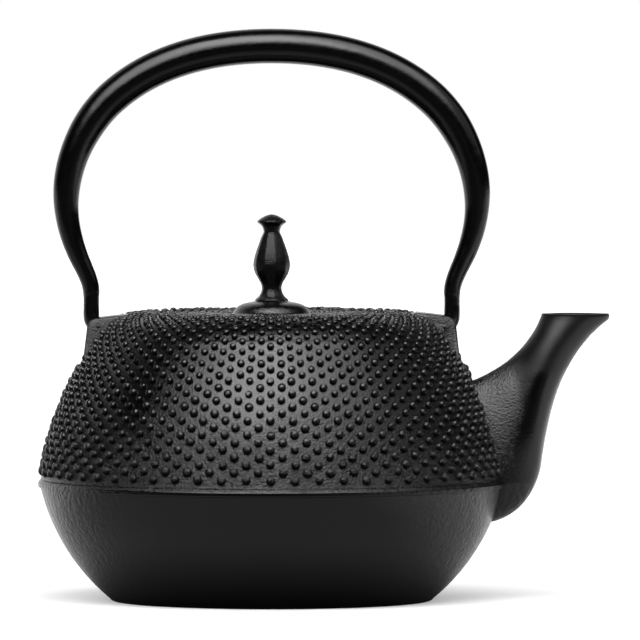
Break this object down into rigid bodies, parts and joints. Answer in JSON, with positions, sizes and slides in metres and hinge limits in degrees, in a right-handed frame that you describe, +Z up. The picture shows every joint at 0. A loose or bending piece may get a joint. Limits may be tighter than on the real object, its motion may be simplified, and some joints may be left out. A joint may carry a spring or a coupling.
{
  "type": "cast iron teapot",
  "caption": "Round cast iron teapot with a hobnail shoulder, swept spout, tapering bail handle, knobbed lid and a steel infuser.",
  "frame": {"origin": "centre of the flat base, on the surface the pot stands on", "axes": "+Z up, +X towards the spout, and the handle's pivots lie along X"},
  "size_m": [0.2202, 0.1804, 0.2206],
  "materials": {
    "cast_iron": "black lacquer over sand-cast skin",
    "lacquered_bar": "satin black lacquer",
    "blackened_steel": "blackened",
    "stainless_steel": "bright"
  },
  "bodies": {
    "pot": {"pot_casting": "cast_iron"},
    "bail": {"handle": "lacquered_bar"},
    "infuser": {"infuser_rim": "stainless_steel", "infuser_wall": "stainless_steel", "infuser_floor": "stainless_steel"},
    "lid_with_knob": {"lid": "cast_iron", "lid_knob": "cast_iron", "knob_rivet": "blackened_steel", "knob_washer": "blackened_steel"}
  },
  "joints": [
    {"name": "handle_swing", "type": "hinge", "parent": "pot", "child": "bail", "pos_m": [0, 0, 0.1052], "axis": [1, 0, 0], "range_deg": [-26, 26]},
    {"name": "infuser_lift", "type": "slide", "parent": "pot", "child": "infuser", "axis": [0, 0, 1], "range_m": [0, 0.05]},
    {"name": "lid_lift", "type": "slide", "parent": "infuser", "child": "lid_with_knob", "axis": [0, 0, 1], "range_m": [0, 0.055]}
  ]
}
